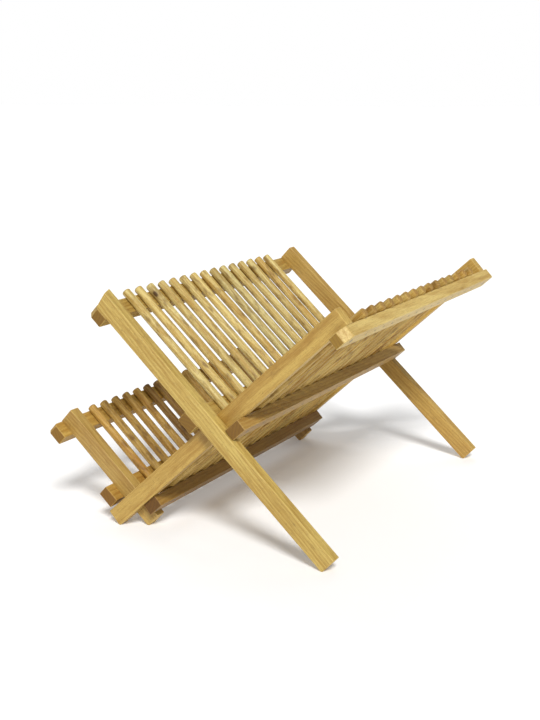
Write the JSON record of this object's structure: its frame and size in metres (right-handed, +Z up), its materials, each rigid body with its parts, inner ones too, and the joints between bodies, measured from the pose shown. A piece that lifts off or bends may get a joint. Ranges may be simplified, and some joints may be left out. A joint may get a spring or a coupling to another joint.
{
  "type": "folding wooden dish drying rack",
  "caption": "Folding wooden dish rack: crossed slat frames with round dowels make a tall trough for plates and a low trough for cups.",
  "frame": {"origin": "on the table, in the middle of the open rack's overall length and width", "axes": "+Z up; +Y along the rack and its pivot lines, from the front end to the back end; +X from the cup side to the plate side"},
  "size_m": [0.3422, 0.4, 0.2416],
  "materials": {
    "slat_wood": "planed hardwood, unvarnished",
    "dowel_wood": "turned hardwood, unvarnished",
    "nail_steel": "bright wire nail heads",
    "pin_steel": "plain steel"
  },
  "bodies": {
    "main_frame": {"main_bar_bottom": "slat_wood", "main_bar_middle": "slat_wood", "main_bar_top": "slat_wood", "main_dowel_01": "dowel_wood", "main_dowel_02": "dowel_wood", "main_dowel_03": "dowel_wood", "main_dowel_04": "dowel_wood", "main_dowel_05": "dowel_wood", "main_dowel_06": "dowel_wood", "main_dowel_07": "dowel_wood", "main_dowel_08": "dowel_wood", "main_dowel_09": "dowel_wood", "main_dowel_10": "dowel_wood", "main_dowel_11": "dowel_wood", "main_dowel_12": "dowel_wood", "main_dowel_13": "dowel_wood", "main_dowel_14": "dowel_wood", "main_dowel_15": "dowel_wood", "main_leg_back": "slat_wood", "main_leg_front": "slat_wood", "main_nails": "nail_steel", "pivot_pins": "pin_steel"},
    "plate_wing": {"plate_wing_bar_lower": "slat_wood", "plate_wing_bar_top": "slat_wood", "plate_wing_dowel_01": "dowel_wood", "plate_wing_dowel_02": "dowel_wood", "plate_wing_dowel_03": "dowel_wood", "plate_wing_dowel_04": "dowel_wood", "plate_wing_dowel_05": "dowel_wood", "plate_wing_dowel_06": "dowel_wood", "plate_wing_dowel_07": "dowel_wood", "plate_wing_dowel_08": "dowel_wood", "plate_wing_dowel_09": "dowel_wood", "plate_wing_dowel_10": "dowel_wood", "plate_wing_dowel_11": "dowel_wood", "plate_wing_dowel_12": "dowel_wood", "plate_wing_dowel_13": "dowel_wood", "plate_wing_dowel_14": "dowel_wood", "plate_wing_dowel_15": "dowel_wood", "plate_wing_leg_back": "slat_wood", "plate_wing_leg_front": "slat_wood", "plate_wing_nails": "nail_steel"},
    "cup_wing": {"cup_wing_bar_lower": "slat_wood", "cup_wing_bar_top": "slat_wood", "cup_wing_dowel_01": "dowel_wood", "cup_wing_dowel_02": "dowel_wood", "cup_wing_dowel_03": "dowel_wood", "cup_wing_dowel_04": "dowel_wood", "cup_wing_dowel_05": "dowel_wood", "cup_wing_dowel_06": "dowel_wood", "cup_wing_dowel_07": "dowel_wood", "cup_wing_dowel_08": "dowel_wood", "cup_wing_dowel_09": "dowel_wood", "cup_wing_dowel_10": "dowel_wood", "cup_wing_dowel_11": "dowel_wood", "cup_wing_dowel_12": "dowel_wood", "cup_wing_dowel_13": "dowel_wood", "cup_wing_leg_back": "slat_wood", "cup_wing_leg_front": "slat_wood", "cup_wing_nails": "nail_steel"}
  },
  "joints": [
    {"name": "plate_wing_hinge", "type": "hinge", "parent": "main_frame", "child": "plate_wing", "pos_m": [0.03087, 0, 0.11839], "axis": [0, 1, 0], "range_deg": [0, 94.4]},
    {"name": "cup_wing_hinge", "type": "hinge", "parent": "main_frame", "child": "cup_wing", "pos_m": [-0.07202, 0, 0.02345], "axis": [0, 1, 0], "range_deg": [0, 94.4]}
  ]
}
